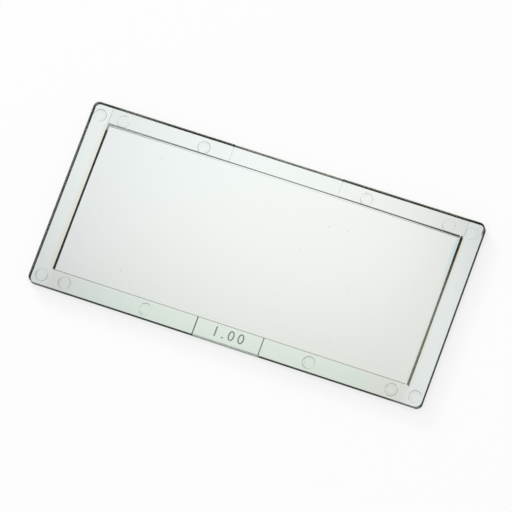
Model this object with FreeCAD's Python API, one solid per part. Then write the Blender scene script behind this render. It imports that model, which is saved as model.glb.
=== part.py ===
import FreeCAD, Part
import math
import os

# A welding magnifier lens: one clear moulded plate that lies flat, marked front face up.
# Sizes are in millimetres, angles in degrees.
# The origin is at the middle of the back rim's plane, with the long side along X.

# Plate: two inches by four and a quarter, as welding filter plates are
PLATE_LENGTH = 107.95
PLATE_WIDTH = 50.8
PLATE_CORNER_RADIUS = 1.6
RIM_THICKNESS = 3.4
FRONT_EDGE_RADIUS = 0.2
BACK_EDGE_RADIUS = 0.9

# Window in the flat rim, with walls that slope more at its two ends than along its sides
FRONT_END_RIM_WIDTH = 5.4
FRONT_SIDE_RIM_WIDTH = 4.9
FRONT_END_WALL_DRAFT = 11.0
FRONT_SIDE_WALL_DRAFT = 5.0
BACK_RIM_WIDTH = 4.9
BACK_END_WALL_DRAFT = 22.0
BACK_SIDE_WALL_DRAFT = 6.0

# Lens in the window, convex on both sides, with a power of one dioptre
LENS_SURFACE_RADIUS = 1172.0
LENS_FRONT_RECESS = 0.3
LENS_BACK_RECESS = 0.1

# Far long side: the land of a mould insert, and the trimmed gate in its middle
INSERT_STEP = 0.06
GATE_LENGTH = 30.0
GATE_STEP = 0.06
GATE_TRIM = 0.1

# Near long side: the shallow pad for the power number
PAD_LENGTH = 18.1
PAD_OFFSET = 0.95
PAD_DEPTH = 0.12

# Ejector pin marks, in two rows and at the four corners
PIN_MARK_DIAMETER = 3.2
PIN_MARK_DEPTH = 0.1
PIN_ROW_FROM_SIDE = 2.8
PIN_ROW_FROM_WINDOW_END = 3.7
CORNER_PIN_FROM_END = 2.7
CORNER_PIN_FROM_SIDE = 3.4

# How far a cutting shape runs past the face that it opens
OVERCUT = 1.0


def wall_offset(depth, draft):
    """How far a sloping wall comes in over a depth."""
    return depth * math.tan(math.radians(draft))


def front_window_half_sizes(height=RIM_THICKNESS):
    """Half length and half width of the front window at a height; its mouth is at the rim's front."""
    depth = RIM_THICKNESS - height
    half_length = PLATE_LENGTH / 2 - FRONT_END_RIM_WIDTH - wall_offset(depth, FRONT_END_WALL_DRAFT)
    half_width = PLATE_WIDTH / 2 - FRONT_SIDE_RIM_WIDTH - wall_offset(depth, FRONT_SIDE_WALL_DRAFT)
    return half_length, half_width


def back_window_half_sizes(height=0):
    """Half length and half width of the back window at a height; its mouth is at the rim's back."""
    half_length = PLATE_LENGTH / 2 - BACK_RIM_WIDTH - wall_offset(height, BACK_END_WALL_DRAFT)
    half_width = PLATE_WIDTH / 2 - BACK_RIM_WIDTH - wall_offset(height, BACK_SIDE_WALL_DRAFT)
    return half_length, half_width


def box_between(x_min, x_max, y_min, y_max, z_min, z_max):
    """A box given by its two opposite corners."""
    corner = FreeCAD.Vector(x_min, y_min, z_min)
    return Part.makeBox(x_max - x_min, y_max - y_min, z_max - z_min, corner)


def drafted_block(foot, head, z_min, z_max):
    """A block whose foot and head are the rectangles (x_min, x_max, y_min, y_max)."""
    wedge = Part.makeWedge(
        foot[0], z_min, -foot[3], -head[3], head[0],
        foot[1], z_max, -foot[2], -head[2], head[1])
    wedge.rotate(FreeCAD.Vector(0, 0, 0), FreeCAD.Vector(1, 0, 0), 90)
    return wedge


def outer_plate():
    """The plate's outline with round corners, a crisp front edge and a rounder back edge."""
    half_length = PLATE_LENGTH / 2
    half_width = PLATE_WIDTH / 2
    block = box_between(-half_length, half_length, -half_width, half_width, 0, RIM_THICKNESS)
    upright_edges = [edge for edge in block.Edges if edge.BoundBox.ZLength > RIM_THICKNESS / 2]
    plate = block.makeFillet(PLATE_CORNER_RADIUS, upright_edges)
    front_edges = [edge for edge in plate.Edges if edge.BoundBox.ZMin > RIM_THICKNESS / 2]
    plate = plate.makeFillet(FRONT_EDGE_RADIUS, front_edges)
    back_edges = [edge for edge in plate.Edges if edge.BoundBox.ZMax < RIM_THICKNESS / 2]
    return plate.makeFillet(BACK_EDGE_RADIUS, back_edges)


def centred(half_sizes):
    """The rectangle (x_min, x_max, y_min, y_max) with these half sizes round the origin."""
    half_length, half_width = half_sizes
    return -half_length, half_length, -half_width, half_width


def front_window():
    """The inside of the front window, from the middle of the plate to past its front."""
    foot = RIM_THICKNESS / 2
    head = RIM_THICKNESS + OVERCUT
    return drafted_block(
        centred(front_window_half_sizes(foot)), centred(front_window_half_sizes(head)), foot, head)


def back_window():
    """The inside of the back window, from past the plate's back to its middle."""
    foot = -OVERCUT
    head = RIM_THICKNESS / 2
    return drafted_block(
        centred(back_window_half_sizes(foot)), centred(back_window_half_sizes(head)), foot, head)


def lens_ball(side):
    """The ball whose surface is the lens's front (side 1) or back (side -1)."""
    apex = RIM_THICKNESS - LENS_FRONT_RECESS if side > 0 else LENS_BACK_RECESS
    centre = FreeCAD.Vector(0, 0, apex - side * LENS_SURFACE_RADIUS)
    return Part.makeSphere(LENS_SURFACE_RADIUS, centre, FreeCAD.Vector(0, -side, 0))


def pin_mark(x, y):
    """One round mark, sunk a little below the rim's front face."""
    foot = FreeCAD.Vector(x, y, RIM_THICKNESS - PIN_MARK_DEPTH)
    return Part.makeCylinder(PIN_MARK_DIAMETER / 2, PIN_MARK_DEPTH + OVERCUT, foot)


def pin_marks():
    """Twelve marks: two pairs along each long side and one at each corner."""
    row_end = front_window_half_sizes()[0] - PIN_ROW_FROM_WINDOW_END
    row_y = PLATE_WIDTH / 2 - PIN_ROW_FROM_SIDE
    corner_x = PLATE_LENGTH / 2 - CORNER_PIN_FROM_END
    corner_y = PLATE_WIDTH / 2 - CORNER_PIN_FROM_SIDE
    places = [(row_end / 2, row_y), (row_end, row_y), (corner_x, corner_y)]
    marks = []
    for x, y in places:
        for x_side in (-1, 1):
            for y_side in (-1, 1):
                marks.append(pin_mark(x_side * x, y_side * y))
    return marks


def long_rim_range():
    """Distances from the plate's middle, from inside the window to past a long side's outer edge."""
    return front_window_half_sizes()[1] - OVERCUT, PLATE_WIDTH / 2 + OVERCUT


def insert_land():
    """The land of the mould insert on the far rim, whose ends run on from the window's end walls."""
    floor = RIM_THICKNESS - INSERT_STEP
    top = RIM_THICKNESS + OVERCUT
    foot_length = front_window_half_sizes(floor)[0]
    head_length = front_window_half_sizes(top)[0]
    foot = (-foot_length, foot_length, *long_rim_range())
    head = (-head_length, head_length, *long_rim_range())
    return drafted_block(foot, head, floor, top)


def gate_land():
    """The land in front of the gate, one more step lower."""
    floor = RIM_THICKNESS - INSERT_STEP - GATE_STEP
    half_gate = GATE_LENGTH / 2
    return box_between(-half_gate, half_gate, *long_rim_range(), floor, RIM_THICKNESS + OVERCUT)


def gate_trim():
    """The strip cut off the far side wall with the gate."""
    near = PLATE_WIDTH / 2 - GATE_TRIM
    far = PLATE_WIDTH / 2 + OVERCUT
    half_gate = GATE_LENGTH / 2
    return box_between(-half_gate, half_gate, near, far, -OVERCUT, RIM_THICKNESS + OVERCUT)


def number_pad():
    """The shallow pad across the near rim, from the window to the outer edge."""
    floor = RIM_THICKNESS - PAD_DEPTH
    inner, outer = long_rim_range()
    x_min = PAD_OFFSET - PAD_LENGTH / 2
    x_max = PAD_OFFSET + PAD_LENGTH / 2
    return box_between(x_min, x_max, -outer, -inner, floor, RIM_THICKNESS + OVERCUT)


def magnifier_lens():
    """Rim and lens as one moulding."""
    front = front_window()
    back = back_window()
    lands = [insert_land(), gate_land(), gate_trim(), number_pad()]
    rim = outer_plate().cut([front, back] + lands + pin_marks())
    lens_halves = [front.common(lens_ball(1)), back.common(lens_ball(-1))]
    moulding = rim.fuse(lens_halves).removeSplitter()
    return moulding.Solids[0]


os.makedirs("parts", exist_ok=True)
magnifier_lens().exportStep("parts/magnifier_lens.step")
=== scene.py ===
import math

import bmesh
import bpy
from mathutils import Euler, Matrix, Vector


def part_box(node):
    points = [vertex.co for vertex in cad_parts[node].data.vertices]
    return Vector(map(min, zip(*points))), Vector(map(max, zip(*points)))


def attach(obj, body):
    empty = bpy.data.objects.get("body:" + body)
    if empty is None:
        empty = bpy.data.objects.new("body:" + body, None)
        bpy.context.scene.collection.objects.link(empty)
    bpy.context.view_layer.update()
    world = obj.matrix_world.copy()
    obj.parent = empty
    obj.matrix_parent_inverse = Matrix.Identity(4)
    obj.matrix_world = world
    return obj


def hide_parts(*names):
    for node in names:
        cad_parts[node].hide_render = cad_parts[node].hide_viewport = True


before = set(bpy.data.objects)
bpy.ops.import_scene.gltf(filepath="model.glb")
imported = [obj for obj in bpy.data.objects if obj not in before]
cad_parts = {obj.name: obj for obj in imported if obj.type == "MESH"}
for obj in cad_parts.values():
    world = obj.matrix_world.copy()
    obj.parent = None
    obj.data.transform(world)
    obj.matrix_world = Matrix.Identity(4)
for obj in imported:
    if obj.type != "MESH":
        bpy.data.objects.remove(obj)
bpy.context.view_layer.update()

bl_info = {
    "name": "Welding Magnifier Lens",
    "version": (1, 0, 0),
    "blender": (4, 5, 0),
    "location": "3D Viewport > Sidebar > Lens",
    "description": "Builds a clear moulded magnifier plate with its rim, lens and moulding marks",
    "category": "Add Mesh",
}

MM = 0.001
NODE = "magnifier_lens"
PIECE = "clear_moulding"
PLATE_LOW, PLATE_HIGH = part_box(NODE)
PLATE_LENGTH = PLATE_HIGH[0] - PLATE_LOW[0]
PLATE_WIDTH = PLATE_HIGH[1] - PLATE_LOW[1]


# Sizes and colours that a user would change

class MouldingSizes(bpy.types.PropertyGroup):
    """The plate's section and its moulding marks."""

    rim_thickness: bpy.props.FloatProperty(
        name="Rim thickness", description="Height of the flat rim above the back",
        default=3.4 * MM, unit="LENGTH")
    corner_radius: bpy.props.FloatProperty(
        name="Corner radius", description="Radius of the plate's four corners",
        default=1.6 * MM, unit="LENGTH")
    front_edge_radius: bpy.props.FloatProperty(
        name="Front edge radius", description="Rounding along the outer front edge",
        default=0.2 * MM, unit="LENGTH")
    back_edge_radius: bpy.props.FloatProperty(
        name="Back edge radius", description="Rounding along the outer back edge",
        default=0.9 * MM, unit="LENGTH")
    end_rim: bpy.props.FloatProperty(
        name="End rim", description="Width of the front rim at the two short sides",
        default=5.4 * MM, unit="LENGTH")
    side_rim: bpy.props.FloatProperty(
        name="Side rim", description="Width of the front rim along the two long sides",
        default=4.9 * MM, unit="LENGTH")
    front_end_draft: bpy.props.FloatProperty(
        name="Front end draft", description="Slope of the front window's walls at its two ends",
        default=math.radians(11.0), subtype="ANGLE")
    front_side_draft: bpy.props.FloatProperty(
        name="Front side draft", description="Slope of the front window's walls along its sides",
        default=math.radians(5.0), subtype="ANGLE")
    back_rim: bpy.props.FloatProperty(
        name="Back rim", description="Width of the back rim all round",
        default=4.9 * MM, unit="LENGTH")
    back_end_draft: bpy.props.FloatProperty(
        name="Back end draft", description="Slope of the back window's walls at its two ends",
        default=math.radians(22.0), subtype="ANGLE")
    back_side_draft: bpy.props.FloatProperty(
        name="Back side draft", description="Slope of the back window's walls along its sides",
        default=math.radians(6.0), subtype="ANGLE")
    lens_radius: bpy.props.FloatProperty(
        name="Lens radius", description="Radius of the lens's two convex surfaces",
        default=1172.0 * MM, unit="LENGTH")
    front_recess: bpy.props.FloatProperty(
        name="Front recess", description="Depth of the lens's middle below the rim's front",
        default=0.3 * MM, unit="LENGTH")
    back_recess: bpy.props.FloatProperty(
        name="Back recess", description="Height of the lens's middle above the rim's back",
        default=0.1 * MM, unit="LENGTH")
    insert_step: bpy.props.FloatProperty(
        name="Insert step", description="Step down to the mould insert's land on the far rim",
        default=0.06 * MM, unit="LENGTH")
    insert_end: bpy.props.FloatProperty(
        name="Insert end", description="Distance from the insert's right end to the plate's end",
        default=4.5 * MM, unit="LENGTH")
    gate_length: bpy.props.FloatProperty(
        name="Gate length", description="Length of the trimmed gate",
        default=30.0 * MM, unit="LENGTH")
    gate_trim: bpy.props.FloatProperty(
        name="Gate trim", description="Depth of the strip cut off with the gate",
        default=0.1 * MM, unit="LENGTH")
    pad_length: bpy.props.FloatProperty(
        name="Pad length", description="Length of the number pad on the near rim",
        default=18.1 * MM, unit="LENGTH")
    pad_offset: bpy.props.FloatProperty(
        name="Pad offset", description="How far the pad's middle lies from the plate's middle",
        default=0.95 * MM, unit="LENGTH")
    pad_depth: bpy.props.FloatProperty(
        name="Pad depth", description="Depth of the number pad",
        default=0.12 * MM, unit="LENGTH")
    pin_diameter: bpy.props.FloatProperty(
        name="Pin mark diameter", description="Diameter of the ejector pin marks",
        default=3.2 * MM, unit="LENGTH")
    pin_shift: bpy.props.FloatProperty(
        name="Pin mark shift", description="How far the marks lie towards the near side",
        default=0.5 * MM, unit="LENGTH")
    near_pin_shift: bpy.props.FloatProperty(
        name="Near pin mark shift",
        description="How far the near marks lie to the right of the far ones",
        default=0.6 * MM, unit="LENGTH")
    pin_depth: bpy.props.FloatProperty(
        name="Pin mark depth", description="Depth of the ejector pin marks",
        default=0.1 * MM, unit="LENGTH")


class MouldingFinish(bpy.types.PropertyGroup):
    """The clear plastic's colours. Light takes them on as it passes through a face. The wall, line,
    edge and shade colours are painted shade, and the two fringes are painted colour fringes.
    """

    cool_colour: bpy.props.FloatVectorProperty(
        name="Cool colour", description="Colour of the polished faces at the far left",
        default=(0.955, 1.0, 1.0), size=3, subtype="COLOR", min=0.0, max=1.0)
    warm_colour: bpy.props.FloatVectorProperty(
        name="Warm colour", description="Colour of the polished faces at the near right",
        default=(0.98, 1.0, 0.955), size=3, subtype="COLOR", min=0.0, max=1.0)
    near_rim_colour: bpy.props.FloatVectorProperty(
        name="Near rim colour", description="Tint of the near rim's middle part",
        default=(0.93, 1.0, 0.965), size=3, subtype="COLOR", min=0.0, max=1.0)
    # Painted shade: the steep walls are darkened, the windows' walls more and the pale cut edges
    # less; their roughness is their own.
    wall_shade_colour: bpy.props.FloatVectorProperty(
        name="Wall colour", description="Colour of the dull outer walls",
        default=(0.075, 0.10, 0.07), size=3, subtype="COLOR", min=0.0, max=1.0)
    window_wall_shade_colour: bpy.props.FloatVectorProperty(
        name="Window wall colour",
        description="Shade that the window's walls add to the wall colour",
        default=(0.05, 0.05, 0.05), size=3, subtype="COLOR", min=0.0, max=1.0)
    wall_roughness: bpy.props.FloatProperty(
        name="Wall roughness", description="Roughness of the dull outer walls",
        default=0.35, min=0.0, max=1.0)
    front_window_roughness: bpy.props.FloatProperty(
        name="Front window roughness", description="Roughness of the front window's walls",
        default=0.9, min=0.0, max=1.0)
    back_window_roughness: bpy.props.FloatProperty(
        name="Back window roughness", description="Roughness of the back window's walls",
        default=0.03, min=0.0, max=1.0)
    cut_roughness: bpy.props.FloatProperty(
        name="Cut roughness", description="Roughness of the pale cut edges",
        default=0.7, min=0.0, max=1.0)
    # Painted shade: the fine dark lines round the window's mouth, at its right end and at the
    # steps' ends, and the far right corner.
    shade_line_colour: bpy.props.FloatVectorProperty(
        name="Line colour", description="Colour of the fine lines that the mould's parts leave",
        default=(0.03, 0.035, 0.03), size=3, subtype="COLOR", min=0.0, max=1.0)
    ring_colour: bpy.props.FloatVectorProperty(
        name="Ring colour", description="Colour of the rings round the ejector pin marks",
        default=(0.42, 0.45, 0.47), size=3, subtype="COLOR", min=0.0, max=1.0)
    # Painted shade along the far and left outer edges.
    edge_shade_colour: bpy.props.FloatVectorProperty(
        name="Edge colour", description="Colour along the far and left outer edges",
        default=(0.30, 0.27, 0.16), size=3, subtype="COLOR", min=0.0, max=1.0)
    number_colour: bpy.props.FloatVectorProperty(
        name="Number colour", description="Colour of the raised number",
        default=(0.10, 0.11, 0.09), size=3, subtype="COLOR", min=0.0, max=1.0)
    # Painted shade on the rim beside the window's right end.
    shade_colour: bpy.props.FloatVectorProperty(
        name="Shade colour", description="Colour of the rim right beside the window's right end",
        default=(0.09, 0.075, 0.05), size=3, subtype="COLOR", min=0.0, max=1.0)
    # Painted colour fringes of split light beside the window's ends.
    painted_warm_fringe: bpy.props.FloatVectorProperty(
        name="Warm fringe", description="Colour fringe on the rim, beside the window's ends",
        default=(1.0, 0.93, 0.82), size=3, subtype="COLOR", min=0.0, max=1.0)
    painted_cool_fringe: bpy.props.FloatVectorProperty(
        name="Cool fringe", description="Colour fringe on the lens, beside the window's right end",
        default=(0.74, 0.93, 1.0), size=3, subtype="COLOR", min=0.0, max=1.0)
    depth_colour: bpy.props.FloatVectorProperty(
        name="Depth colour", description="Colour that light takes on inside the plastic",
        default=(0.47, 0.57, 0.40), size=3, subtype="COLOR", min=0.0, max=1.0)
    depth_density: bpy.props.FloatProperty(
        name="Depth density", description="How quickly light takes on the depth colour, per metre",
        default=30.0, min=0.0)


class StageSettings(bpy.types.PropertyGroup):
    """Floor, light and camera."""

    floor_colour: bpy.props.FloatVectorProperty(
        name="Floor colour", description="Colour of the plain floor",
        default=(0.99, 0.99, 0.99), size=3, subtype="COLOR", min=0.0, max=1.0)
    floor_glow: bpy.props.FloatProperty(
        name="Floor glow", description="Share of plain white in the floor that the camera sees",
        default=0.7, min=0.0, max=1.0)
    mirror_shade: bpy.props.FloatProperty(
        name="Mirror shade", description="How much darker the floor is where it is mirrored",
        default=0.75, min=0.0, max=1.0)
    room_level: bpy.props.FloatProperty(
        name="Room level", description="Strength of the even light from all round",
        default=0.35, min=0.0)
    overhead_level: bpy.props.FloatProperty(
        name="Overhead level", description="Strength of the lamp overhead",
        default=0.51, min=0.0)
    side_level: bpy.props.FloatProperty(
        name="Side level", description="Strength of the lamp on the far left",
        default=0.35, min=0.0)
    dark_level: bpy.props.FloatProperty(
        name="Dark level", description="Level of the dark room that shows in the plastic",
        default=0.08, min=0.0)
    horizon_level: bpy.props.FloatProperty(
        name="Horizon level", description="Level of the pale horizon that shows in the plastic",
        default=0.7, min=0.0)
    camera_azimuth: bpy.props.FloatProperty(
        name="Camera azimuth", description="Turn of the camera round the plate, from the near side",
        default=math.radians(46.14), subtype="ANGLE")
    camera_elevation: bpy.props.FloatProperty(
        name="Camera elevation", description="Height angle of the camera",
        default=math.radians(72.78), subtype="ANGLE")
    camera_roll: bpy.props.FloatProperty(
        name="Camera roll", description="Turn of the picture about the line of sight",
        default=math.radians(-26.94), subtype="ANGLE")
    camera_distance: bpy.props.FloatProperty(
        name="Camera distance", description="Distance from the camera to the plate",
        default=1.335, unit="LENGTH")
    camera_lens: bpy.props.FloatProperty(
        name="Camera lens", description="Focal length",
        default=366.7, unit="CAMERA")


# Small helpers for modelling

def deselect_all():
    """Leave edit mode and select nothing."""
    if bpy.context.object and bpy.context.object.mode != "OBJECT":
        bpy.ops.object.mode_set(mode="OBJECT")
    bpy.ops.object.select_all(action="DESELECT")


def activate(piece):
    """Make one piece the only selected and active one."""
    deselect_all()
    piece.select_set(True)
    bpy.context.view_layer.objects.active = piece


def settle(piece):
    """Move a piece's place, turn and scale into its mesh."""
    activate(piece)
    bpy.ops.object.transform_apply(location=True, rotation=True, scale=True)


def add_block(name, low, high):
    """A block between two opposite corners."""
    deselect_all()
    low, high = Vector(low), Vector(high)
    bpy.ops.mesh.primitive_cube_add(size=1, location=(low + high) / 2)
    block = bpy.context.object
    block.name = name
    block.scale = high - low
    settle(block)
    return block


def pick_faces(piece, wanted):
    """In edit mode, select only the faces whose middle and normal are wanted."""
    bpy.ops.mesh.select_mode(type="FACE")
    bpy.ops.mesh.select_all(action="DESELECT")
    mesh = bmesh.from_edit_mesh(piece.data)
    for face in mesh.faces:
        face.select_set(wanted(face.calc_center_median(), face.normal))
    bmesh.update_edit_mesh(piece.data)


def pick_edges(piece, wanted):
    """In edit mode, select only the edges whose two ends are wanted."""
    bpy.ops.mesh.select_mode(type="EDGE")
    bpy.ops.mesh.select_all(action="DESELECT")
    mesh = bmesh.from_edit_mesh(piece.data)
    for edge in mesh.edges:
        edge.select_set(wanted(edge.verts[0].co, edge.verts[1].co))
    bmesh.update_edit_mesh(piece.data)


def combine(piece, tool, operation):
    """Cut, join or intersect a piece with a tool, and remove the tool."""
    activate(piece)
    modifier = piece.modifiers.new(operation.title(), "BOOLEAN")
    modifier.solver = "EXACT"
    modifier.operation = operation
    modifier.object = tool
    bpy.ops.object.modifier_apply(modifier=modifier.name)
    bpy.data.objects.remove(tool)


def front_window_half_sizes(sizes, height):
    """Half length and half width of the front window at a height."""
    depth = sizes.rim_thickness - height
    half_length = PLATE_LENGTH / 2 - sizes.end_rim - depth * math.tan(sizes.front_end_draft)
    half_width = PLATE_WIDTH / 2 - sizes.side_rim - depth * math.tan(sizes.front_side_draft)
    return half_length, half_width


def back_window_half_sizes(sizes, height):
    """Half length and half width of the back window at a height."""
    half_length = PLATE_LENGTH / 2 - sizes.back_rim - height * math.tan(sizes.back_end_draft)
    half_width = PLATE_WIDTH / 2 - sizes.back_rim - height * math.tan(sizes.back_side_draft)
    return half_length, half_width


# The moulding

OVERCUT = 1.0 * MM
MERGE_DISTANCE = 0.001 * MM
CORNER_SEGMENTS = 16
FRONT_EDGE_SEGMENTS = 4
BACK_EDGE_SEGMENTS = 12
MARK_SEGMENTS = 40
LENS_CELL = 1.6 * MM
LENS_MARGIN = 2.0 * MM
SMOOTH_ANGLE = math.radians(3)
PIN_ROW_FROM_WINDOW_END = 3.7 * MM
PIN_ROW_FROM_SIDE = 2.8 * MM
CORNER_PIN_FROM_END = 2.7 * MM
CORNER_PIN_FROM_SIDE = 3.0 * MM
NUMBER_TEXT = "1.00"
NUMBER_SIZE = 3.8 * MM
NUMBER_RELIEF = 0.08 * MM
NUMBER_SPACING = 1.4


def round_edges(piece, wanted, radius, segments):
    """In edit mode, round the edges whose two ends are wanted."""
    pick_edges(piece, wanted)
    bpy.ops.mesh.bevel(offset_type="OFFSET", offset=radius, segments=segments, affect="EDGES")


def add_rim_blank(sizes):
    """The plain plate with round corners and softened edges."""
    top = sizes.rim_thickness
    half_length = PLATE_LENGTH / 2
    half_width = PLATE_WIDTH / 2
    blank = add_block(PIECE, (-half_length, -half_width, 0), (half_length, half_width, top))
    bpy.ops.object.mode_set(mode="EDIT")
    round_edges(
        blank, lambda a, b: abs(a.z - b.z) > top / 2, sizes.corner_radius, CORNER_SEGMENTS)
    round_edges(
        blank, lambda a, b: min(a.z, b.z) > top / 2, sizes.front_edge_radius, FRONT_EDGE_SEGMENTS)
    round_edges(
        blank, lambda a, b: max(a.z, b.z) < top / 2, sizes.back_edge_radius, BACK_EDGE_SEGMENTS)
    bpy.ops.object.mode_set(mode="OBJECT")
    return blank


def add_window_prism(sizes, name, side):
    """The inside of the front (side 1) or back (side -1) window, from the plate's middle out."""
    half_sizes = front_window_half_sizes if side > 0 else back_window_half_sizes
    inner = sizes.rim_thickness / 2
    outer = inner + side * (inner + OVERCUT)
    mouth = half_sizes(sizes, outer)
    foot = half_sizes(sizes, inner)
    prism = add_block(
        name, (-mouth[0], -mouth[1], min(inner, outer)), (mouth[0], mouth[1], max(inner, outer)))
    bpy.ops.object.mode_set(mode="EDIT")
    pick_faces(prism, lambda middle, normal: normal.z * side < -0.5)
    bpy.ops.transform.resize(
        value=(foot[0] / mouth[0], foot[1] / mouth[1], 1), center_override=(0, 0, inner))
    bpy.ops.object.mode_set(mode="OBJECT")
    return prism


def add_lens_side(sizes, side):
    """Air above the lens's front (side 1) or below its back (side -1): a grid cast onto a ball."""
    half_length, half_width = front_window_half_sizes(sizes, sizes.rim_thickness)
    length = 2 * (half_length + LENS_MARGIN)
    width = 2 * (half_width + LENS_MARGIN)
    apex = sizes.rim_thickness - sizes.front_recess if side > 0 else sizes.back_recess
    outer = sizes.rim_thickness / 2 + side * (sizes.rim_thickness / 2 + 2 * OVERCUT)
    deselect_all()
    bpy.ops.mesh.primitive_grid_add(
        x_subdivisions=round(length / LENS_CELL), y_subdivisions=round(width / LENS_CELL),
        size=1, location=(0, 0, apex))
    air = bpy.context.object
    air.name = "lens_air"
    air.scale = (length, width, 1)
    settle(air)
    deselect_all()
    bpy.ops.object.empty_add(location=(0, 0, apex - side * sizes.lens_radius))
    curve_centre = bpy.context.object
    activate(air)
    cast = air.modifiers.new("Lens sphere", "CAST")
    cast.cast_type = "SPHERE"
    cast.object = curve_centre
    cast.factor = 1
    cast.use_radius_as_size = False
    cast.size = sizes.lens_radius
    bpy.ops.object.modifier_apply(modifier=cast.name)
    bpy.data.objects.remove(curve_centre)
    activate(air)
    bpy.ops.object.mode_set(mode="EDIT")
    bpy.ops.mesh.select_all(action="SELECT")
    bpy.ops.mesh.extrude_region_move(TRANSFORM_OT_translate={"value": (0, 0, side * OVERCUT)})
    bpy.ops.transform.resize(value=(1, 1, 0), center_override=(0, 0, outer))
    bpy.ops.mesh.select_all(action="SELECT")
    bpy.ops.mesh.normals_make_consistent(inside=False)
    bpy.ops.mesh.quads_convert_to_tris()
    bpy.ops.object.mode_set(mode="OBJECT")
    return air


def cut_windows(blank, sizes):
    """Hollow the front and the back down to the lens."""
    for side, name in ((1, "front_window"), (-1, "back_window")):
        cavity = add_window_prism(sizes, name, side)
        combine(cavity, add_lens_side(sizes, side), "INTERSECT")
        combine(blank, cavity, "DIFFERENCE")


def cut_lands(blank, sizes):
    """Lower the lands on the two long rims and trim the gate."""
    top = sizes.rim_thickness
    head = top + OVERCUT
    inner = front_window_half_sizes(sizes, top)[1] - OVERCUT
    outer = PLATE_WIDTH / 2 + OVERCUT
    gate = sizes.gate_length / 2
    pad = sizes.pad_length / 2
    for name, low, high in (
            ("insert_land",
             (sizes.end_rim - PLATE_LENGTH / 2, inner, top - sizes.insert_step),
             (PLATE_LENGTH / 2 - sizes.insert_end, outer, head)),
            ("gate_land",
             (-gate, inner, top - 2 * sizes.insert_step), (gate, outer, head)),
            ("gate_trim",
             (-gate, PLATE_WIDTH / 2 - sizes.gate_trim, -OVERCUT), (gate, outer, head)),
            ("number_pad",
             (sizes.pad_offset - pad, -outer, top - sizes.pad_depth),
             (sizes.pad_offset + pad, -inner, head))):
        combine(blank, add_block(name, low, high), "DIFFERENCE")


def pin_places(sizes):
    """Middles of the twelve ejector pin marks: four in each row and one at each corner."""
    row_end = (
        front_window_half_sizes(sizes, sizes.rim_thickness)[0] - PIN_ROW_FROM_WINDOW_END)
    row_y = PLATE_WIDTH / 2 - PIN_ROW_FROM_SIDE
    corner_x = PLATE_LENGTH / 2 - CORNER_PIN_FROM_END
    corner_y = PLATE_WIDTH / 2 - CORNER_PIN_FROM_SIDE
    quarter = [(row_end / 2, row_y), (row_end, row_y), (corner_x, corner_y)]
    return [
        (x_side * x + (sizes.near_pin_shift if y_side < 0 else 0), y_side * y - sizes.pin_shift)
        for x, y in quarter for x_side in (-1, 1) for y_side in (-1, 1)]


def cut_pin_marks(piece, sizes):
    """Sink the round marks into the rim."""
    height = sizes.pin_depth + OVERCUT
    middle = sizes.rim_thickness - sizes.pin_depth + height / 2
    for number, (x, y) in enumerate(pin_places(sizes)):
        deselect_all()
        bpy.ops.mesh.primitive_cylinder_add(
            vertices=MARK_SEGMENTS, radius=sizes.pin_diameter / 2, depth=height,
            location=(x, y, middle))
        mark = bpy.context.object
        mark.name = f"pin_{number}"
        settle(mark)
        combine(piece, mark, "DIFFERENCE")


def raise_number(piece, sizes):
    """A plain raised number in the pad."""
    deselect_all()
    bpy.ops.object.text_add()
    number = bpy.context.object
    number.data.body = NUMBER_TEXT
    number.data.size = NUMBER_SIZE
    number.data.align_x = "CENTER"
    number.data.align_y = "CENTER"
    number.data.extrude = NUMBER_RELIEF
    number.data.space_character = NUMBER_SPACING
    bpy.ops.object.convert(target="MESH")
    number = bpy.context.object
    number.location = (
        sizes.pad_offset, -PLATE_WIDTH / 2 + sizes.side_rim / 2,
        sizes.rim_thickness - sizes.pad_depth)
    settle(number)
    bpy.ops.object.mode_set(mode="EDIT")
    bpy.ops.mesh.select_all(action="SELECT")
    bpy.ops.mesh.remove_doubles(threshold=MERGE_DISTANCE)
    bpy.ops.mesh.normals_make_consistent(inside=False)
    bpy.ops.object.mode_set(mode="OBJECT")
    combine(piece, number, "UNION")


def build_moulding(sizes):
    """Rim, lens and marks as one closed mesh."""
    moulding = add_rim_blank(sizes)
    cut_lands(moulding, sizes)
    cut_windows(moulding, sizes)
    cut_pin_marks(moulding, sizes)
    raise_number(moulding, sizes)
    activate(moulding)
    bpy.ops.object.shade_smooth_by_angle(angle=SMOOTH_ANGLE)
    return moulding


# Small helpers for node trees

def new_group(name, *outputs):
    """An empty shader group that puts out masks or values, and its output node."""
    group = bpy.data.node_groups.new(name, "ShaderNodeTree")
    for output in outputs:
        group.interface.new_socket(output, in_out="OUTPUT", socket_type="NodeSocketFloat")
    return group, group.nodes.new("NodeGroupOutput")


def add_group(tree, group):
    """Place a shader group in a material."""
    node = tree.nodes.new("ShaderNodeGroup")
    node.node_tree = group
    return node


def math_node(group, operation, first, second=None):
    """One math step on sockets or plain numbers."""
    node = group.nodes.new("ShaderNodeMath")
    node.operation = operation
    for socket, value in zip(node.inputs, (first, second)):
        if isinstance(value, bpy.types.NodeSocket):
            group.links.new(value, socket)
        elif value is not None:
            socket.default_value = value
    return node.outputs[0]


def plus(group, first, second):
    """The sum of two values."""
    return math_node(group, "ADD", first, second)


def minus(group, first, second):
    """The first value less the second."""
    return math_node(group, "SUBTRACT", first, second)


def absolute(group, value):
    """A value without its sign."""
    return math_node(group, "ABSOLUTE", value)


def diagonal(group, width, height):
    """The length of a rectangle's diagonal."""
    return math_node(group, "SQRT", plus(
        group, math_node(group, "MULTIPLY", width, width),
        math_node(group, "MULTIPLY", height, height)))


def within(group, value, limit):
    """A value kept between a limit and its negative."""
    return math_node(group, "MAXIMUM", math_node(group, "MINIMUM", value, limit), -limit)


def both(group, *masks):
    """Where all masks are 1. A plain number among them is the strength."""
    result = masks[0]
    for mask in masks[1:]:
        result = math_node(group, "MULTIPLY", result, mask)
    return result


def either(group, *masks):
    """Where any mask is 1."""
    result = masks[0]
    for mask in masks[1:]:
        result = math_node(group, "MAXIMUM", result, mask)
    return result


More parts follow.
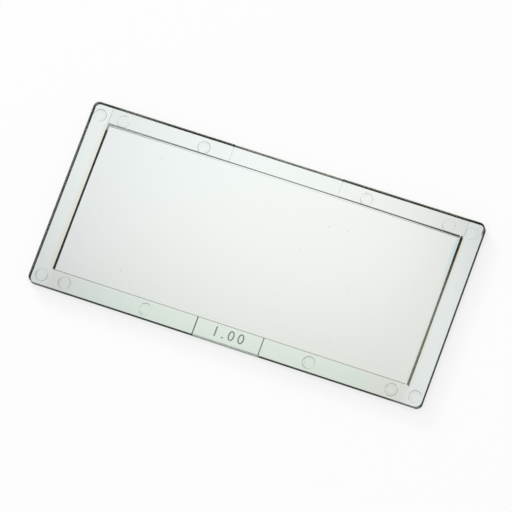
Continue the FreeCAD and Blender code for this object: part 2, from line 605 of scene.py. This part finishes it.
def soft_step(group, value, low, high, falling=False):
    """A smooth 0 to 1 step of a value between two limits, or 1 to 0 where it is falling."""
    step = group.nodes.new("ShaderNodeMapRange")
    step.interpolation_type = "SMOOTHSTEP"
    step.inputs["From Min"].default_value = low
    step.inputs["From Max"].default_value = high
    step.inputs["To Min"].default_value = 1.0 if falling else 0.0
    step.inputs["To Max"].default_value = 0.0 if falling else 1.0
    group.links.new(value, step.inputs["Value"])
    return step.outputs["Result"]


def band(group, value, centre, half_width, softness):
    """A soft band of 1 where a value is near a centre."""
    away = absolute(group, minus(group, value, centre))
    return soft_step(group, away, half_width - softness, half_width + softness, falling=True)


def place_in_mm(group):
    """The x, y and z of a place on the piece, in millimetres."""
    place = group.nodes.new("ShaderNodeTexCoord")
    scale = group.nodes.new("ShaderNodeVectorMath")
    scale.operation = "SCALE"
    scale.inputs["Scale"].default_value = 1 / MM
    split = group.nodes.new("ShaderNodeSeparateXYZ")
    group.links.new(place.outputs["Object"], scale.inputs[0])
    group.links.new(scale.outputs["Vector"], split.inputs["Vector"])
    return split.outputs["X"], split.outputs["Y"], split.outputs["Z"]


def patches(group, scale, low, high, seed):
    """Soft random patches between 0 and 1."""
    place = group.nodes.new("ShaderNodeTexCoord")
    noise = group.nodes.new("ShaderNodeTexNoise")
    noise.noise_dimensions = "4D"
    noise.inputs["Scale"].default_value = scale
    noise.inputs["W"].default_value = seed
    group.links.new(place.outputs["Object"], noise.inputs["Vector"])
    return soft_step(group, noise.outputs["Fac"], low, high)


def tinted(tree, base, mask, colour, strength=1.0):
    """A colour that takes on another, by multiplying, where a mask is 1."""
    mix = tree.nodes.new("ShaderNodeMix")
    mix.data_type = "RGBA"
    mix.blend_type = "MULTIPLY"
    factor = mask if strength == 1.0 else both(tree, mask, strength)
    tree.links.new(factor, mix.inputs["Factor"])
    tree.links.new(base, mix.inputs["A"])
    mix.inputs["B"].default_value = (*colour, 1)
    return mix.outputs["Result"]


# The finish: all lengths and ranges below are in millimetres. A range is where a soft step
# begins and ends, and a line is its half width and its softness.

HALF_LENGTH = PLATE_LENGTH / 2 / MM
HALF_WIDTH = PLATE_WIDTH / 2 / MM
FRONT_DEPTH = (0.3, 0.2)
SOFT_EDGE = 0.1
MOUTH_SOFTNESS = 0.2


def window_mouth(sizes):
    """Half length and half width of the front window's mouth."""
    return [half / MM for half in front_window_half_sizes(sizes, sizes.rim_thickness)]


def insert_right_end(sizes):
    """Where the mould insert's land ends at the right."""
    return (PLATE_LENGTH / 2 - sizes.insert_end) / MM


def front_face(group, sizes, z):
    """1 on the rim's front face and on the marks that are sunk into it."""
    top = sizes.rim_thickness / MM
    return soft_step(group, z, top - FRONT_DEPTH[0], top - FRONT_DEPTH[1])


def outline_distance(group, sizes, x, y):
    """How far a place lies outside the plate's outline, and below 0 on the plate."""
    radius = sizes.corner_radius / MM
    over_x = minus(group, absolute(group, x), HALF_LENGTH - radius)
    over_y = minus(group, absolute(group, y), HALF_WIDTH - radius)
    out_x = math_node(group, "MAXIMUM", over_x, 0.0)
    out_y = math_node(group, "MAXIMUM", over_y, 0.0)
    corner = diagonal(group, out_x, out_y)
    inside = math_node(group, "MINIMUM", math_node(group, "MAXIMUM", over_x, over_y), 0.0)
    return minus(group, plus(group, corner, inside), radius)


WALL_UPRIGHTNESS = (0.25, 0.42)
WINDOW_WALLS_IN = (-3.0, -2.5)
WINDOW_FRONT_BELOW = (0.2, 0.1)
# Places where less shade is painted on the walls: the far left window wall and the pale cut edges.
FAR_LEFT_WALL = {"along": (-50, -18), "across": (18.5, 19.5), "clearness": 0.9}
NEAR_WALL = (-25.0, -24.5)
NEAR_WALL_PAD = (8.9, 9.2)
NEAR_WALL_FOOT = (0.9, 1.3)
NEAR_WALL_ENDS = (43, 50)
NEAR_WALL_ENDS_PALENESS = 0.45
FAR_WALL = (24.5, 25.0)
GATE_STUB = {"centre": 9.5, "half_width": 5.0, "softness": 1.0}
GATE_STUB_PALENESS = 0.6
FAR_WALL_RIGHT = {"from": (-30, -12), "to": (47, 49), "paleness": 0.3}


def steep_walls_group(sizes):
    """Masks of the steep walls with painted shade, the windows' walls among them, and of the pale
    cut edges, where less shade is painted.
    """
    group, result = new_group(
        "steep_walls", "Walls", "Window Walls", "Front Window", "Back Window", "Cut Edges")
    place = group.nodes.new("ShaderNodeTexCoord")
    split = group.nodes.new("ShaderNodeSeparateXYZ")
    group.links.new(place.outputs["Normal"], split.inputs["Vector"])
    walls = soft_step(
        group, absolute(group, split.outputs["Z"]), *WALL_UPRIGHTNESS, falling=True)
    x, y, z = place_in_mm(group)
    outwards = outline_distance(group, sizes, x, y)
    window = both(group, walls, soft_step(group, outwards, *WINDOW_WALLS_IN, falling=True))
    far_left = both(
        group, soft_step(group, x, *FAR_LEFT_WALL["along"], falling=True),
        soft_step(group, y, *FAR_LEFT_WALL["across"]), window)
    near = soft_step(group, y, *NEAR_WALL, falling=True)
    from_pad = absolute(group, minus(group, x, sizes.pad_offset / MM))
    pad = soft_step(group, from_pad, *NEAR_WALL_PAD, falling=True)
    foot = soft_step(group, z, *NEAR_WALL_FOOT, falling=True)
    near_ends = both(
        group, soft_step(group, absolute(group, x), *NEAR_WALL_ENDS), NEAR_WALL_ENDS_PALENESS)
    gate = band(group, absolute(group, x), **GATE_STUB)
    far_right = both(
        group, soft_step(group, x, *FAR_WALL_RIGHT["from"]),
        soft_step(group, x, *FAR_WALL_RIGHT["to"], falling=True))
    far_wall = both(group, soft_step(group, y, *FAR_WALL), either(
        group, both(group, gate, GATE_STUB_PALENESS),
        both(group, far_right, FAR_WALL_RIGHT["paleness"])))
    near_wall = both(group, near, either(group, pad, foot, near_ends))
    cut = both(group, walls, either(group, near_wall, far_wall))
    clear = either(group, both(group, far_left, FAR_LEFT_WALL["clearness"]), cut)
    group.links.new(cut, result.inputs["Cut Edges"])
    middle = sizes.rim_thickness / 2 / MM
    front = both(group, window, soft_step(
        group, z, middle - WINDOW_FRONT_BELOW[0], middle - WINDOW_FRONT_BELOW[1]))
    dark = both(group, walls, minus(group, 1.0, clear))
    group.links.new(dark, result.inputs["Walls"])
    group.links.new(both(group, dark, window), result.inputs["Window Walls"])
    group.links.new(front, result.inputs["Front Window"])
    group.links.new(minus(group, window, front), result.inputs["Back Window"])
    return group


RING_LINE = (0.15, 0.12)
INNER_RING_IN = 0.55
INNER_RING_LINE = (0.12, 0.1)
INNER_RING_STRENGTH = 0.3
RING_ARCS = {"scale": 420, "low": 0.36, "high": 0.6, "seed": 3.0}
NEAR_HALF = (-1, 1)
FAINT_RING = {"along": (48.5, 49.0), "across": (15, 16), "faintness": 0.7}


def pin_rings_group(sizes):
    """Rings round the ejector pin marks, broken into arcs."""
    group, result = new_group("pin_rings", "Rings")
    x, y, z = place_in_mm(group)
    near = soft_step(group, y, *NEAR_HALF, falling=True)
    along = absolute(group, minus(group, x, both(group, near, sizes.near_pin_shift / MM)))
    across = absolute(group, plus(group, y, sizes.pin_shift / MM))
    radius = sizes.pin_diameter / 2 / MM
    rings = []
    for pin_x, pin_y in sorted(
            (px, py + sizes.pin_shift) for px, py in pin_places(sizes) if px > 0 and py > 0):
        distance = diagonal(
            group, minus(group, along, pin_x / MM), minus(group, across, pin_y / MM))
        rings.append(band(group, distance, radius, *RING_LINE))
        inner_ring = band(group, distance, radius - INNER_RING_IN, *INNER_RING_LINE)
        rings.append(both(group, inner_ring, INNER_RING_STRENGTH))
    front = front_face(group, sizes, z)
    arcs = patches(group, **RING_ARCS)
    far_right = both(
        group, soft_step(group, x, *FAINT_RING["along"]),
        soft_step(group, y, *FAINT_RING["across"]))
    faint = minus(group, 1.0, both(group, far_right, FAINT_RING["faintness"]))
    group.links.new(
        both(group, either(group, *rings), front, arcs, faint), result.inputs["Rings"])
    return group


# Painted shade lines round the window's mouth and at the steps' ends.
MOUTH_LINE_OUT = 0.05
MOUTH_LINE = (0.11, 0.05)
MOUTH_LINE_STRENGTH = 0.9
FAR_LINE_FADES = (22, 38)
FAR_LINE_FADING = 0.6
INSERT_LINE = (0.08, 0.06)
INSERT_LINE_STRENGTH = 0.55
GATE_LINE = (0.09, 0.06)
GATE_LINE_STRENGTH = 0.3
GATE_LINE_EDGE = (1.2, 0.7)
GATE_LINE_EDGE_STRENGTH = 0.6
PAD_LINE = (0.16, 0.08)
RIGHT_END_LINE_OUT = 0.5
RIGHT_END_LINE = (0.28, 0.08)
RIGHT_END_LINE_PART = (2, 18)


def shade_lines_group(sizes):
    """Painted shade lines round the window's mouth, at its right end and at the ends of the lands
    and of the pad.
    """
    group, result = new_group("shade_lines", "Lines")
    x, y, z = place_in_mm(group)
    mouth_x, mouth_y = window_mouth(sizes)
    from_middle = absolute(group, x)
    front = front_face(group, sizes, z)
    far_rim = soft_step(group, y, mouth_y - SOFT_EDGE, mouth_y)
    near_rim = soft_step(group, y, -mouth_y, -mouth_y + SOFT_EDGE, falling=True)
    far_edge = soft_step(
        group, y, HALF_WIDTH - GATE_LINE_EDGE[0], HALF_WIDTH - GATE_LINE_EDGE[1])
    mouth = both(
        group, band(group, absolute(group, y), mouth_y + MOUTH_LINE_OUT, *MOUTH_LINE),
        soft_step(group, from_middle, mouth_x - MOUTH_SOFTNESS, mouth_x, falling=True))
    right = soft_step(group, x, *FAR_LINE_FADES)
    mouth_level = minus(
        group, MOUTH_LINE_STRENGTH, both(group, far_rim, right, FAR_LINE_FADING))
    insert_ends = both(group, far_rim, either(
        group, band(group, x, -mouth_x, *INSERT_LINE),
        band(group, x, insert_right_end(sizes), *INSERT_LINE)))
    gate_ends = band(group, from_middle, sizes.gate_length / 2 / MM, *GATE_LINE)
    gate_level = plus(group, both(group, far_edge, GATE_LINE_EDGE_STRENGTH), GATE_LINE_STRENGTH)
    from_pad = absolute(group, minus(group, x, sizes.pad_offset / MM))
    pad_ends = band(group, from_pad, sizes.pad_length / 2 / MM, *PAD_LINE)
    right_end = both(
        group, band(group, x, mouth_x + RIGHT_END_LINE_OUT, *RIGHT_END_LINE),
        soft_step(group, y, *RIGHT_END_LINE_PART),
        soft_step(group, y, mouth_y, mouth_y + MOUTH_SOFTNESS, falling=True))
    lines = either(
        group, both(group, mouth, mouth_level), right_end,
        both(group, insert_ends, INSERT_LINE_STRENGTH),
        both(group, gate_ends, far_rim, gate_level),
        both(group, pad_ends, near_rim))
    group.links.new(both(group, lines, front), result.inputs["Lines"])
    return group


# Painted shade along the outer edges and on the far right corner.
EDGE_REACH = (1.6, 0.8)
EDGE_STRIP = (-0.42, -0.22)
CORNER_STRIP = (-0.5, -0.25)
CORNER_PART = (21.5, 23.0)


def edge_shade_group(sizes):
    """Painted shade along the far and left outer edges, and on the raised far right corner, which
    is darkest.
    """
    group, result = new_group("edge_shade", "Edge", "Corner")
    x, y, z = place_in_mm(group)
    outwards = outline_distance(group, sizes, x, y)
    front = front_face(group, sizes, z)
    far_side = soft_step(group, y, HALF_WIDTH - EDGE_REACH[0], HALF_WIDTH - EDGE_REACH[1])
    left_side = soft_step(
        group, x, -HALF_LENGTH + EDGE_REACH[1], -HALF_LENGTH + EDGE_REACH[0], falling=True)
    strip = soft_step(group, outwards, *EDGE_STRIP)
    edge = both(group, strip, front, either(group, far_side, left_side))
    group.links.new(edge, result.inputs["Edge"])
    insert_right = insert_right_end(sizes)
    raised = soft_step(group, x, insert_right - SOFT_EDGE, insert_right + SOFT_EDGE)
    near_corner = soft_step(group, y, *CORNER_PART)
    dark_strip = soft_step(group, outwards, *CORNER_STRIP)
    group.links.new(
        both(group, dark_strip, front, raised, near_corner), result.inputs["Corner"])
    return group


# Painted colour fringes and painted shade beside the window's ends.
FRINGE_END = (-1.0, 0.3)
FRINGE_PATCHES = {"scale": 90, "low": 0.3, "high": 0.6, "seed": 8.0}
FRINGE_FAR_PART = (-2, 14)
WARM_FRINGE_OUT = 0.7
WARM_FRINGE = (0.5, 0.45)
COOL_FRINGE_IN = 0.6
COOL_FRINGE = (0.35, 0.3)
COOL_FRINGE_SHARES = (0.8, 0.2)
SHADE_OUT = 0.45
SHADE_LINE = (0.13, 0.08)
SHADE_SHARES = (0.4, 0.6)


def colour_fringes_group(sizes):
    """Painted colour fringes of split light, and a thin painted shade, beside the window's ends."""
    group, result = new_group("colour_fringes", "Warm", "Cool", "Shade")
    x, y, _ = place_in_mm(group)
    mouth_x, mouth_y = window_mouth(sizes)
    beside = soft_step(
        group, absolute(group, y), mouth_y + FRINGE_END[0], mouth_y + FRINGE_END[1],
        falling=True)
    from_middle = absolute(group, x)
    breaks = patches(group, **FRINGE_PATCHES)
    warm = band(group, from_middle, mouth_x + WARM_FRINGE_OUT, *WARM_FRINGE)
    far_part = soft_step(group, y, *FRINGE_FAR_PART)
    cool = both(
        group, band(group, x, mouth_x - COOL_FRINGE_IN, *COOL_FRINGE),
        plus(group, both(group, far_part, COOL_FRINGE_SHARES[0]), COOL_FRINGE_SHARES[1]))
    shade = both(
        group, band(group, x, mouth_x + SHADE_OUT, *SHADE_LINE),
        plus(group, both(group, far_part, SHADE_SHARES[0]), SHADE_SHARES[1]))
    mouth = soft_step(
        group, absolute(group, y), mouth_y, mouth_y + MOUTH_SOFTNESS, falling=True)
    group.links.new(both(group, shade, mouth), result.inputs["Shade"])
    group.links.new(both(group, warm, beside, breaks), result.inputs["Warm"])
    group.links.new(both(group, cool, beside, breaks), result.inputs["Cool"])
    return group


SPECK_CELLS = 190
SPECK_CHOICE = (0.72, 0.95)
SPECK_RADIUS = (0.018, 0.045)
SPECK_WINDOW = (19.0, 20.0)
SPECK_STRENGTH = 0.8


def specks_group(sizes):
    """A few specks of dust on the lens's front."""
    group, result = new_group("specks", "Specks")
    _, y, z = place_in_mm(group)
    place = group.nodes.new("ShaderNodeTexCoord")
    cells = group.nodes.new("ShaderNodeTexVoronoi")
    cells.voronoi_dimensions = "2D"
    cells.inputs["Scale"].default_value = SPECK_CELLS
    group.links.new(place.outputs["Object"], cells.inputs["Vector"])
    pick = group.nodes.new("ShaderNodeSeparateColor")
    group.links.new(cells.outputs["Color"], pick.inputs["Color"])
    chosen = soft_step(group, pick.outputs["Red"], *SPECK_CHOICE)
    dot = soft_step(group, cells.outputs["Distance"], *SPECK_RADIUS, falling=True)
    middle = sizes.rim_thickness / MM / 2
    front = soft_step(group, z, middle, middle + SOFT_EDGE)
    window = soft_step(group, absolute(group, y), *SPECK_WINDOW, falling=True)
    group.links.new(both(group, dot, chosen, front, window), result.inputs["Specks"])
    return group


NUMBER_INSET = (0.4, 0.3)
NUMBER_TOP = {"half_width": 0.04, "softness": 0.01}
NUMBER_TOP_ABOVE_PAD = 0.06
NUMBER_ROW = {"half_width": 2.0, "softness": 0.1}


def raised_number_group(sizes):
    """Mask of the raised number's top face."""
    group, result = new_group("raised_number", "Number")
    x, y, z = place_in_mm(group)
    half_pad = sizes.pad_length / 2 / MM
    in_pad = soft_step(
        group, absolute(group, minus(group, x, sizes.pad_offset / MM)),
        half_pad - NUMBER_INSET[0], half_pad - NUMBER_INSET[1], falling=True)
    pad_height = (sizes.rim_thickness - sizes.pad_depth) / MM
    top = band(group, z, pad_height + NUMBER_TOP_ABOVE_PAD, **NUMBER_TOP)
    row = band(group, y, -(PLATE_WIDTH - sizes.side_rim) / 2 / MM, **NUMBER_ROW)
    group.links.new(both(group, in_pad, top, row), result.inputs["Number"])
    return group


SLANT = 1.2
SLANT_RANGE = (-75, 55)
END_RIM_FROM = (48.6, 49.6)
END_RIM_SHARES = (0.8, 0.2)
NEAR_RIM_ACROSS = (-21.0, -20.4)
NEAR_RIM_ALONG = (34, 44)


def across_plate_group():
    """Rising from the far left to the near right and low on the end rims; and the near rim."""
    group, result = new_group("across_plate", "Across", "Near Rim")
    x, y, _ = place_in_mm(group)
    slant = minus(group, x, both(group, y, SLANT))
    inside = soft_step(group, absolute(group, x), *END_RIM_FROM, falling=True)
    share = plus(group, both(group, inside, END_RIM_SHARES[0]), END_RIM_SHARES[1])
    group.links.new(
        both(group, soft_step(group, slant, *SLANT_RANGE), share), result.inputs["Across"])
    near_rim = both(
        group, soft_step(group, y, *NEAR_RIM_ACROSS, falling=True),
        soft_step(group, absolute(group, x), *NEAR_RIM_ALONG, falling=True))
    group.links.new(near_rim, result.inputs["Near Rim"])
    return group


PLASTIC_IOR = 1.586


def clear_plastic(sizes, finish):
    """Clear polycarbonate: polished faces, dull walls with painted shade, fine mould marks with
    painted shade lines and edges, painted colour fringes, tinted by depth.
    """
    material = bpy.data.materials.new("clear_polycarbonate")
    material.use_nodes = True
    tree = material.node_tree
    shader = tree.nodes["Principled BSDF"]
    shader.inputs["Transmission Weight"].default_value = 1.0
    shader.inputs["IOR"].default_value = PLASTIC_IOR
    across = add_group(tree, across_plate_group())
    clear = tree.nodes.new("ShaderNodeMix")
    clear.data_type = "RGBA"
    clear.inputs["A"].default_value = (*finish.cool_colour, 1)
    clear.inputs["B"].default_value = (*finish.warm_colour, 1)
    tree.links.new(across.outputs["Across"], clear.inputs["Factor"])
    walls, rings, lines, edges, fringes, specks, number = (
        add_group(tree, make_group(sizes)) for make_group in (
            steep_walls_group, pin_rings_group, shade_lines_group, edge_shade_group,
            colour_fringes_group, specks_group, raised_number_group))
    colour = clear.outputs["Result"]
    for mask, tint, strength in (
            (across.outputs["Near Rim"], finish.near_rim_colour, 1.0),
            # Painted colour fringes of split light, and painted shade beside the window's right
            # end.
            (fringes.outputs["Warm"], finish.painted_warm_fringe, 1.0),
            (fringes.outputs["Cool"], finish.painted_cool_fringe, 1.0),
            (fringes.outputs["Shade"], finish.shade_colour, 1.0),
            (rings.outputs["Rings"], finish.ring_colour, 1.0),
            (specks.outputs["Specks"], finish.ring_colour, SPECK_STRENGTH),
            (number.outputs["Number"], finish.number_colour, 1.0),
            # Painted shade along the far and left outer edges.
            (edges.outputs["Edge"], finish.edge_shade_colour, 1.0),
            # Painted shade on the far right corner, along the window's mouth and at the steps'
            # ends.
            (edges.outputs["Corner"], finish.shade_line_colour, 1.0),
            (lines.outputs["Lines"], finish.shade_line_colour, 1.0),
            # Painted shade on the steep walls, darkest on the windows' walls.
            (walls.outputs["Walls"], finish.wall_shade_colour, 1.0),
            (walls.outputs["Window Walls"], finish.window_wall_shade_colour, 1.0)):
        colour = tinted(tree, colour, mask, tint, strength)
    tree.links.new(colour, shader.inputs["Base Color"])
    roughness = both(tree, walls.outputs["Walls"], finish.wall_roughness)
    for part, more_roughness in (
            ("Front Window", finish.front_window_roughness - finish.wall_roughness),
            ("Back Window", finish.back_window_roughness - finish.wall_roughness),
            ("Cut Edges", finish.cut_roughness)):
        roughness = plus(tree, roughness, both(tree, walls.outputs[part], more_roughness))
    tree.links.new(roughness, shader.inputs["Roughness"])
    depth = tree.nodes.new("ShaderNodeVolumeAbsorption")
    depth.inputs["Color"].default_value = (*finish.depth_colour, 1)
    depth.inputs["Density"].default_value = finish.depth_density
    tree.links.new(depth.outputs["Volume"], tree.nodes["Material Output"].inputs["Volume"])
    return material


# The stage

FLOOR_SIZE = 8
FLOOR_GAP = 0.03 * MM
HORIZON_HEIGHT = (0.15, 0.6)
OVERHEAD_PLACE = (0, 0, 1.2)
OVERHEAD_WIDTH = 1.0
SIDE_PLACE = (-1.0, 0.9, 0.75)
SIDE_WIDTH = 0.6
CAMERA_TARGET = (0.50 * MM, -0.92 * MM, 3.4 * MM)
SENSOR_WIDTH = 36
CLIP_START = 0.01
CLIP_END = 20

# Painted light on the floor under the plate, which shows through the plastic. Places are shares of
# the half length and half width.
FLOOR_REACH = 1.15
FLOOR_LEVEL = 1.026
TOWARDS_FAR_SIDE = 0.104
TOWARDS_BOTH_ENDS = -0.166
TOWARDS_BOTH_SIDES = -0.065
TOWARDS_FAR_RIGHT = -0.015
AT_RIGHT_END_TOWARDS_FAR_SIDE = -0.15
RIGHT_END_POWER = 6
UNDER_END_RIMS = 0.065
UNDER_RIGHT_PART = -0.02
UNDER_NEAR_RIM = 0.024
END_RIM_SHARE = (0.89, 0.93)
RIGHT_PART_SHARE = (0.55, 0.85)
NEAR_RIM_SHARE = (-0.80, -0.77)
NEAR_RIM_LENGTH_SHARE = (0.63, 0.81)


def floor_brightness_group():
    """Painted light on the floor under the plate: brightest under its far middle."""
    group, result = new_group("floor_brightness", "Brightness")
    x, y, _ = place_in_mm(group)
    along = within(group, math_node(group, "DIVIDE", x, HALF_LENGTH), FLOOR_REACH)
    across = within(group, math_node(group, "DIVIDE", y, HALF_WIDTH), FLOOR_REACH)
    right_end = math_node(
        group, "POWER", math_node(group, "MAXIMUM", along, 0.0), RIGHT_END_POWER)
    end_rims = soft_step(group, absolute(group, along), *END_RIM_SHARE)
    right_part = soft_step(group, along, *RIGHT_PART_SHARE)
    near_rim = both(
        group, soft_step(group, across, *NEAR_RIM_SHARE, falling=True),
        soft_step(group, absolute(group, along), *NEAR_RIM_LENGTH_SHARE, falling=True))
    level = FLOOR_LEVEL
    for share, change in (
            (across, TOWARDS_FAR_SIDE), (both(group, along, along), TOWARDS_BOTH_ENDS),
            (both(group, across, across), TOWARDS_BOTH_SIDES),
            (both(group, along, across), TOWARDS_FAR_RIGHT),
            (both(group, right_end, across), AT_RIGHT_END_TOWARDS_FAR_SIDE),
            (end_rims, UNDER_END_RIMS), (right_part, UNDER_RIGHT_PART),
            (near_rim, UNDER_NEAR_RIM)):
        level = plus(group, level, both(group, share, change))
    group.links.new(level, result.inputs["Brightness"])
    return group


def floor_material(stage):
    """Plain matt floor that glows with painted light where it is seen through the plastic, with a
    light shadow to the eye.
    """
    material = bpy.data.materials.new("plain_floor")
    material.use_nodes = True
    tree = material.node_tree
    shader = tree.nodes["Principled BSDF"]
    shader.inputs["Base Color"].default_value = (*stage.floor_colour, 1)
    shader.inputs["Roughness"].default_value = 1.0
    shader.inputs["Specular IOR Level"].default_value = 0.0
    glow = tree.nodes.new("ShaderNodeEmission")
    glow.inputs["Color"].default_value = (1, 1, 1, 1)
    bright = add_group(tree, floor_brightness_group())
    path = tree.nodes.new("ShaderNodeLightPath")
    to_camera = path.outputs["Is Camera Ray"]
    through = path.outputs["Is Transmission Ray"]
    seen = both(tree, to_camera, stage.floor_glow)
    lit = either(tree, both(tree, bright.outputs["Brightness"], through), to_camera)
    mirrored = math_node(
        tree, "MAXIMUM", minus(tree, path.outputs["Is Glossy Ray"], through), 0.0)
    dimmed = both(tree, mirrored, stage.mirror_shade)
    unmirrored = minus(tree, 1.0, mirrored)
    tree.links.new(both(tree, lit, unmirrored), glow.inputs["Strength"])
    share = either(tree, through, seen, dimmed)
    mix = tree.nodes.new("ShaderNodeMixShader")
    tree.links.new(share, mix.inputs["Fac"])
    tree.links.new(shader.outputs["BSDF"], mix.inputs[1])
    tree.links.new(glow.outputs["Emission"], mix.inputs[2])
    tree.links.new(mix.outputs["Shader"], tree.nodes["Material Output"].inputs["Surface"])
    return material


def add_floor(stage):
    """A plain pale floor under the plate, a hair below it so that the back stays clear."""
    deselect_all()
    bpy.ops.mesh.primitive_plane_add(
        size=FLOOR_SIZE, location=(0, 0, PLATE_LOW[2] - FLOOR_GAP))
    floor = bpy.context.object
    floor.name = "floor"
    settle(floor)
    floor.data.materials.append(floor_material(stage))


def light_world(stage):
    """An even room, which clear plastic shows as dark overhead and pale near the horizon."""
    world = bpy.data.worlds.new("soft_studio")
    bpy.context.scene.world = world
    world.use_nodes = True
    tree = world.node_tree
    place = tree.nodes.new("ShaderNodeTexCoord")
    split = tree.nodes.new("ShaderNodeSeparateXYZ")
    tree.links.new(place.outputs["Generated"], split.inputs["Vector"])
    low = soft_step(tree, split.outputs["Z"], *HORIZON_HEIGHT, falling=True)
    through = plus(tree, both(tree, low, stage.horizon_level), stage.dark_level)
    path = tree.nodes.new("ShaderNodeLightPath")
    plastic = either(tree, path.outputs["Is Transmission Ray"], path.outputs["Is Glossy Ray"])
    room = either(tree, path.outputs["Is Camera Ray"], stage.room_level)
    level = tree.nodes.new("ShaderNodeMix")
    tree.links.new(plastic, level.inputs["Factor"])
    tree.links.new(room, level.inputs["A"])
    tree.links.new(through, level.inputs["B"])
    background = tree.nodes["Background"]
    background.inputs["Color"].default_value = (1, 1, 1, 1)
    tree.links.new(level.outputs["Result"], background.inputs["Strength"])


def add_lamp(name, place, width, level):
    """A large soft lamp that faces the plate and shows in no reflection."""
    deselect_all()
    distance = Vector(place).length
    bpy.ops.object.light_add(type="AREA", location=place)
    lamp = bpy.context.object
    lamp.name = name
    lamp.rotation_euler = (-Vector(place)).to_track_quat("-Z", "Y").to_euler()
    lamp.data.shape = "DISK"
    lamp.data.size = width
    lamp.data.energy = level * (math.pi * distance) ** 2
    lamp.visible_camera = False
    lamp.visible_glossy = False
    lamp.visible_transmission = False


def add_lamps(stage):
    """One lamp overhead, and one on the far left that casts the shadow to the near right."""
    add_lamp("lamp_overhead", OVERHEAD_PLACE, OVERHEAD_WIDTH, stage.overhead_level)
    add_lamp("lamp_side", SIDE_PLACE, SIDE_WIDTH, stage.side_level)


def add_camera(stage):
    """A long lens at the photograph's angle."""
    deselect_all()
    azimuth, elevation = stage.camera_azimuth, stage.camera_elevation
    back = Vector((
        math.sin(azimuth) * math.cos(elevation),
        -math.cos(azimuth) * math.cos(elevation),
        math.sin(elevation)))
    bpy.ops.object.camera_add(location=Vector(CAMERA_TARGET) + back * stage.camera_distance)
    camera = bpy.context.object
    level = (-back).to_track_quat("-Z", "Y").to_matrix()
    turn = Euler((0, 0, stage.camera_roll)).to_matrix()
    camera.rotation_euler = (level @ turn).to_euler()
    camera.data.sensor_width = SENSOR_WIDTH
    camera.data.lens = stage.camera_lens
    camera.data.clip_start = CLIP_START
    camera.data.clip_end = CLIP_END
    bpy.context.scene.camera = camera


# Operators, panel and registration

class LENS_OT_moulding(bpy.types.Operator):
    """Build the clear moulded plate"""

    bl_idname = "lens.moulding"
    bl_label = "Clear Moulding"

    def execute(self, context):
        sizes = context.scene.moulding_sizes
        moulding = build_moulding(sizes)
        moulding.data.materials.append(clear_plastic(sizes, context.scene.moulding_finish))
        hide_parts(NODE)
        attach(moulding, "root")
        return {"FINISHED"}


class LENS_OT_stage(bpy.types.Operator):
    """Set up the floor, the light and the camera"""

    bl_idname = "lens.stage"
    bl_label = "Stage"

    def execute(self, context):
        stage = context.scene.stage_settings
        add_floor(stage)
        light_world(stage)
        add_lamps(stage)
        add_camera(stage)
        context.scene.view_settings.view_transform = "Standard"
        return {"FINISHED"}


class LENS_PT_panel(bpy.types.Panel):
    """Lists the steps that build the lens and its stage"""

    bl_label = "Magnifier Lens"
    bl_space_type = "VIEW_3D"
    bl_region_type = "UI"
    bl_category = "Lens"

    def draw(self, context):
        for operator in (LENS_OT_moulding, LENS_OT_stage):
            self.layout.operator(operator.bl_idname)


CLASSES = (
    MouldingSizes, MouldingFinish, StageSettings, LENS_OT_moulding, LENS_OT_stage, LENS_PT_panel)


def register():
    for each in CLASSES:
        bpy.utils.register_class(each)
    bpy.types.Scene.moulding_sizes = bpy.props.PointerProperty(type=MouldingSizes)
    bpy.types.Scene.moulding_finish = bpy.props.PointerProperty(type=MouldingFinish)
    bpy.types.Scene.stage_settings = bpy.props.PointerProperty(type=StageSettings)


def unregister():
    del bpy.types.Scene.stage_settings
    del bpy.types.Scene.moulding_finish
    del bpy.types.Scene.moulding_sizes
    for each in reversed(CLASSES):
        bpy.utils.unregister_class(each)


def main():
    register()
    bpy.ops.lens.moulding()
    bpy.ops.lens.stage()


if __name__ == "__main__":
    main()
